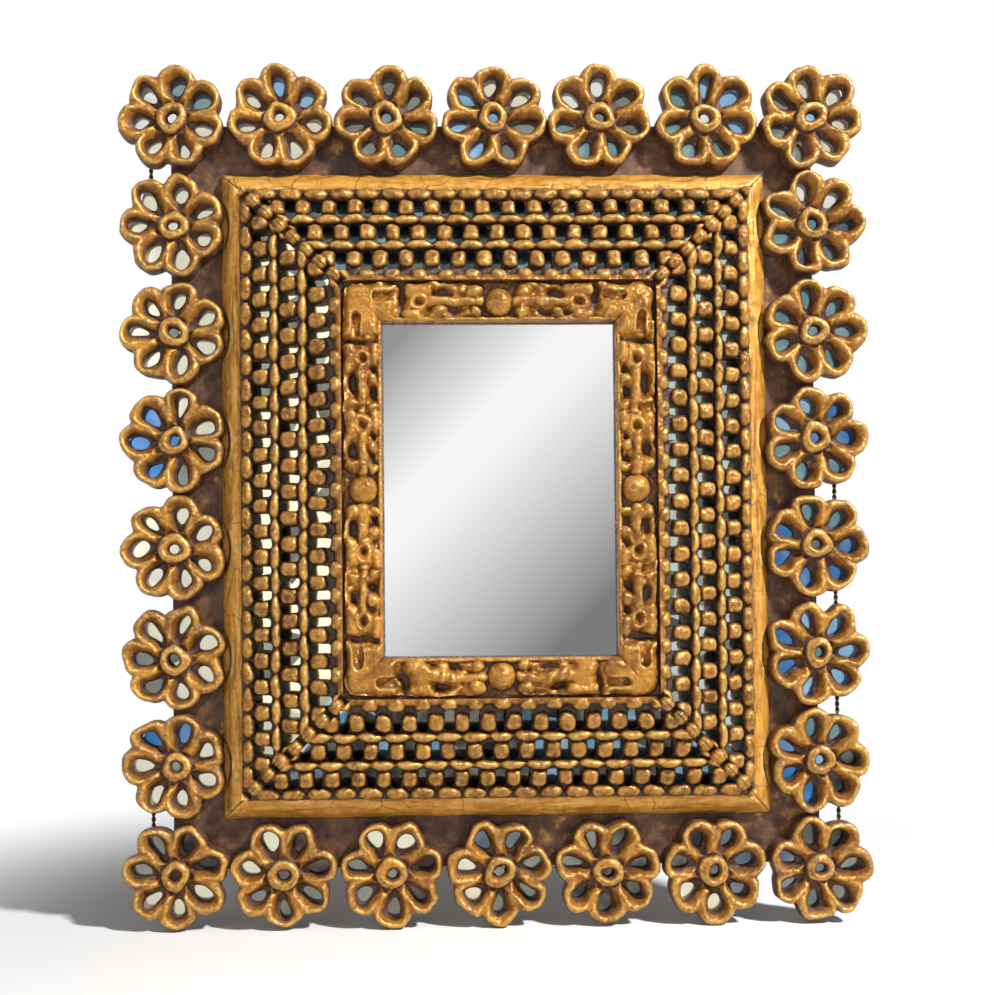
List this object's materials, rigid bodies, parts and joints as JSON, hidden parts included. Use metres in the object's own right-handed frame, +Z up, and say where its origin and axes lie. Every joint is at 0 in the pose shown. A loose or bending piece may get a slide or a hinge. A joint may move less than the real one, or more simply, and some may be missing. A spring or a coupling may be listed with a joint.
{
  "type": "giltwood mirror",
  "caption": "Wall mirror in a carved giltwood frame: pierced flowers over mirror scraps, a plain moulding, a sloping lattice over mirror strips and a carved inner border.",
  "frame": {"origin": "middle of the flat back, where the mirror lies against the wall", "axes": "+Z up, -Y out of the wall towards the viewer, +X to the viewer's right"},
  "size_m": [0.3984, 0.057, 0.4584],
  "materials": {
    "gilt_flower": "aged gilding over brown bole, rubbed bright on the rims and dull in the hollows",
    "gilt_lattice": "aged gilding over brown bole, bright on the posts and beads",
    "gilt_border": "aged gilding with bright rubbed crests",
    "gilt_moulding": "plain warm gilding with fine cracks and worn edges",
    "bole_shelf": "dark brown bole with rubbed gold patches",
    "core_wood": "bare cedar",
    "scrap_mirror": "old uneven mirror scraps",
    "strip_mirror": "old mirror strips",
    "plate_mirror": "clear flat mirror plate",
    "backing_wood": "thin bare board",
    "panel_wood": "aged bare board with a plain grain",
    "iron": "dull iron",
    "dark_wire": "blackened twisted wire",
    "brass": "tarnished brass",
    "steel": "dull steel"
  },
  "bodies": {
    "frame": {"base_rail_top": "bole_shelf", "base_rail_right": "bole_shelf", "base_rail_bottom": "bole_shelf", "base_rail_left": "bole_shelf", "core_top": "core_wood", "core_right": "core_wood", "core_bottom": "core_wood", "core_left": "core_wood", "moulding_top": "gilt_moulding", "moulding_right": "gilt_moulding", "moulding_bottom": "gilt_moulding", "moulding_left": "gilt_moulding", "lattice_top": "gilt_lattice", "lattice_right": "gilt_lattice", "lattice_bottom": "gilt_lattice", "lattice_left": "gilt_lattice", "inner_border_top": "gilt_border", "inner_border_right": "gilt_border", "inner_border_bottom": "gilt_border", "inner_border_left": "gilt_border", "flower_mirrors_top": "scrap_mirror", "flower_mirrors_right": "scrap_mirror", "flower_mirrors_bottom": "scrap_mirror", "flower_mirrors_left": "scrap_mirror", "flower_01": "gilt_flower", "flower_02": "gilt_flower", "flower_03": "gilt_flower", "flower_04": "gilt_flower", "flower_05": "gilt_flower", "flower_06": "gilt_flower", "flower_07": "gilt_flower", "flower_08": "gilt_flower", "flower_09": "gilt_flower", "flower_10": "gilt_flower", "flower_11": "gilt_flower", "flower_12": "gilt_flower", "flower_13": "gilt_flower", "flower_14": "gilt_flower", "flower_15": "gilt_flower", "flower_16": "gilt_flower", "flower_17": "gilt_flower", "flower_18": "gilt_flower", "flower_19": "gilt_flower", "flower_20": "gilt_flower", "flower_21": "gilt_flower", "flower_22": "gilt_flower", "flower_23": "gilt_flower", "flower_24": "gilt_flower", "flower_25": "gilt_flower", "flower_26": "gilt_flower", "lattice_mirrors": "strip_mirror", "centre_mirror": "plate_mirror", "mirror_backing": "backing_wood", "glazing_sprigs": "iron", "tie_wires": "dark_wire", "back_panel": "panel_wood", "back_panel_nails": "iron", "hanger_strap": "brass", "hanger_screws": "steel"},
    "ring": {"hanger_ring": "brass"}
  },
  "joints": [
    {"name": "ring_swing", "type": "hinge", "parent": "frame", "child": "ring", "pos_m": [0, -0.0025, 0.178], "axis": [1, 0, 0], "range_deg": [0, 180]}
  ]
}
